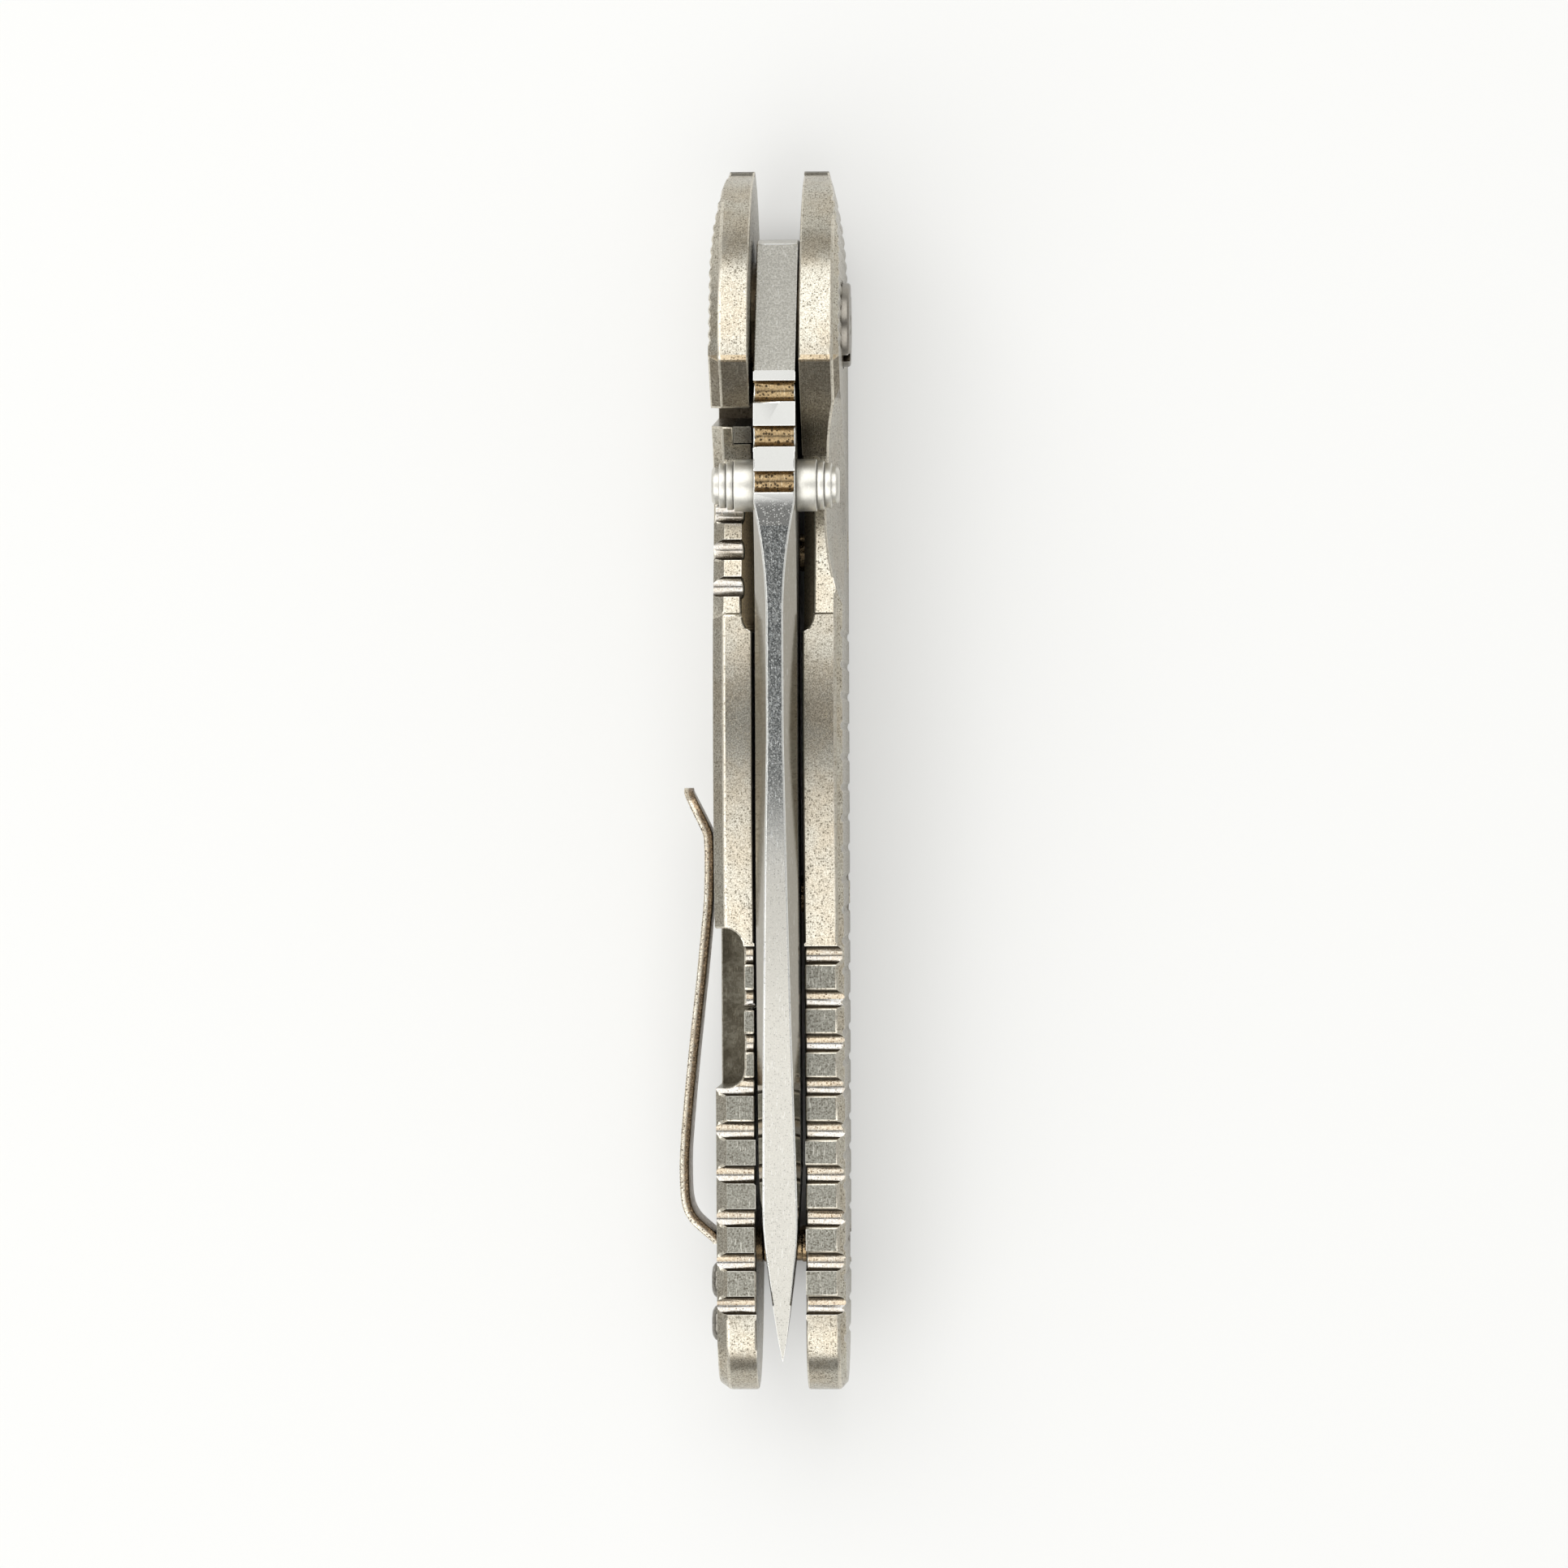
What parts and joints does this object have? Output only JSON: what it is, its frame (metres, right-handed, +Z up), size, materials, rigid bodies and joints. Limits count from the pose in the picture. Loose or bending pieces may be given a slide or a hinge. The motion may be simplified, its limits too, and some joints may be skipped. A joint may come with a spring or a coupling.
{
  "type": "folding pocket knife",
  "caption": "Closed folding pocket knife: two titanium slabs with grip grooves, a frame lock bar cut from one, a drop-point blade with thumb studs, and a bent pocket clip.",
  "frame": {"origin": "below the middle of the whole knife's box, on the surface that the handle's flat back stands on", "axes": "+Y along the handle towards the pivot end, +Z up out of the side that the blade opens from, +X across the handle towards the side without the clip"},
  "size_m": [0.0178, 0.1244, 0.031],
  "materials": {
    "titanium": "stone-washed bare titanium: warm grey, fine speckle, bright worn edges, brown-gold tint left in the grip grooves",
    "blade_steel": "stone-washed blade steel: speckled grey spine, satin flanks, fine bright edge lines",
    "polished_steel": "turned and polished steel with fine turning rings",
    "screw_steel": "machined steel, lightly polished",
    "hard_steel": "ground steel",
    "bronze": "brown-gold bronze, satin",
    "clip_titanium": "bronze-tinted bare titanium, speckled, rubbed bright at the bends"
  },
  "bodies": {
    "handle": {"show_side_slab": "titanium", "lock_side_slab": "titanium", "pivot_barrel": "hard_steel", "pivot_screw_show_side": "screw_steel", "pivot_screw_lock_side": "screw_steel", "washer_show_side": "bronze", "washer_lock_side": "bronze", "stop_pin": "hard_steel", "standoff_front": "bronze", "standoff_middle": "bronze", "standoff_rear": "bronze", "standoff_screw_front_show_side": "screw_steel", "standoff_screw_front_lock_side": "screw_steel", "standoff_screw_middle_show_side": "screw_steel", "standoff_screw_middle_lock_side": "screw_steel", "standoff_screw_rear_show_side": "screw_steel", "standoff_screw_rear_lock_side": "screw_steel", "clip_base": "clip_titanium", "clip_screw_front": "clip_titanium", "clip_screw_rear": "clip_titanium"},
    "blade": {"blade": "blade_steel", "thumb_stud_show_side": "polished_steel", "thumb_stud_lock_side": "polished_steel"},
    "lock_bar": {"lock_bar": "titanium", "lock_insert": "blade_steel", "lock_insert_screw": "hard_steel", "detent_ball": "hard_steel"},
    "clip": {"clip_arm": "clip_titanium"}
  },
  "joints": [
    {"name": "blade_pivot", "type": "hinge", "parent": "handle", "child": "blade", "pos_m": [0.00162, 0.04625, 0.0157], "axis": [-1, 0, 0], "range_deg": [0, 180]},
    {"name": "lock_bar_flex", "type": "hinge", "parent": "handle", "child": "lock_bar", "pos_m": [-0.00143, -0.02305, 0.0157], "axis": [0, 0, 1], "range_deg": [0, 1], "stiffness_Nm_per_rad": 8},
    {"name": "clip_flex", "type": "hinge", "parent": "handle", "child": "clip", "pos_m": [-0.00447, -0.0474, 0.0111], "axis": [0, 0, 1], "range_deg": [0, 3], "stiffness_Nm_per_rad": 5}
  ]
}
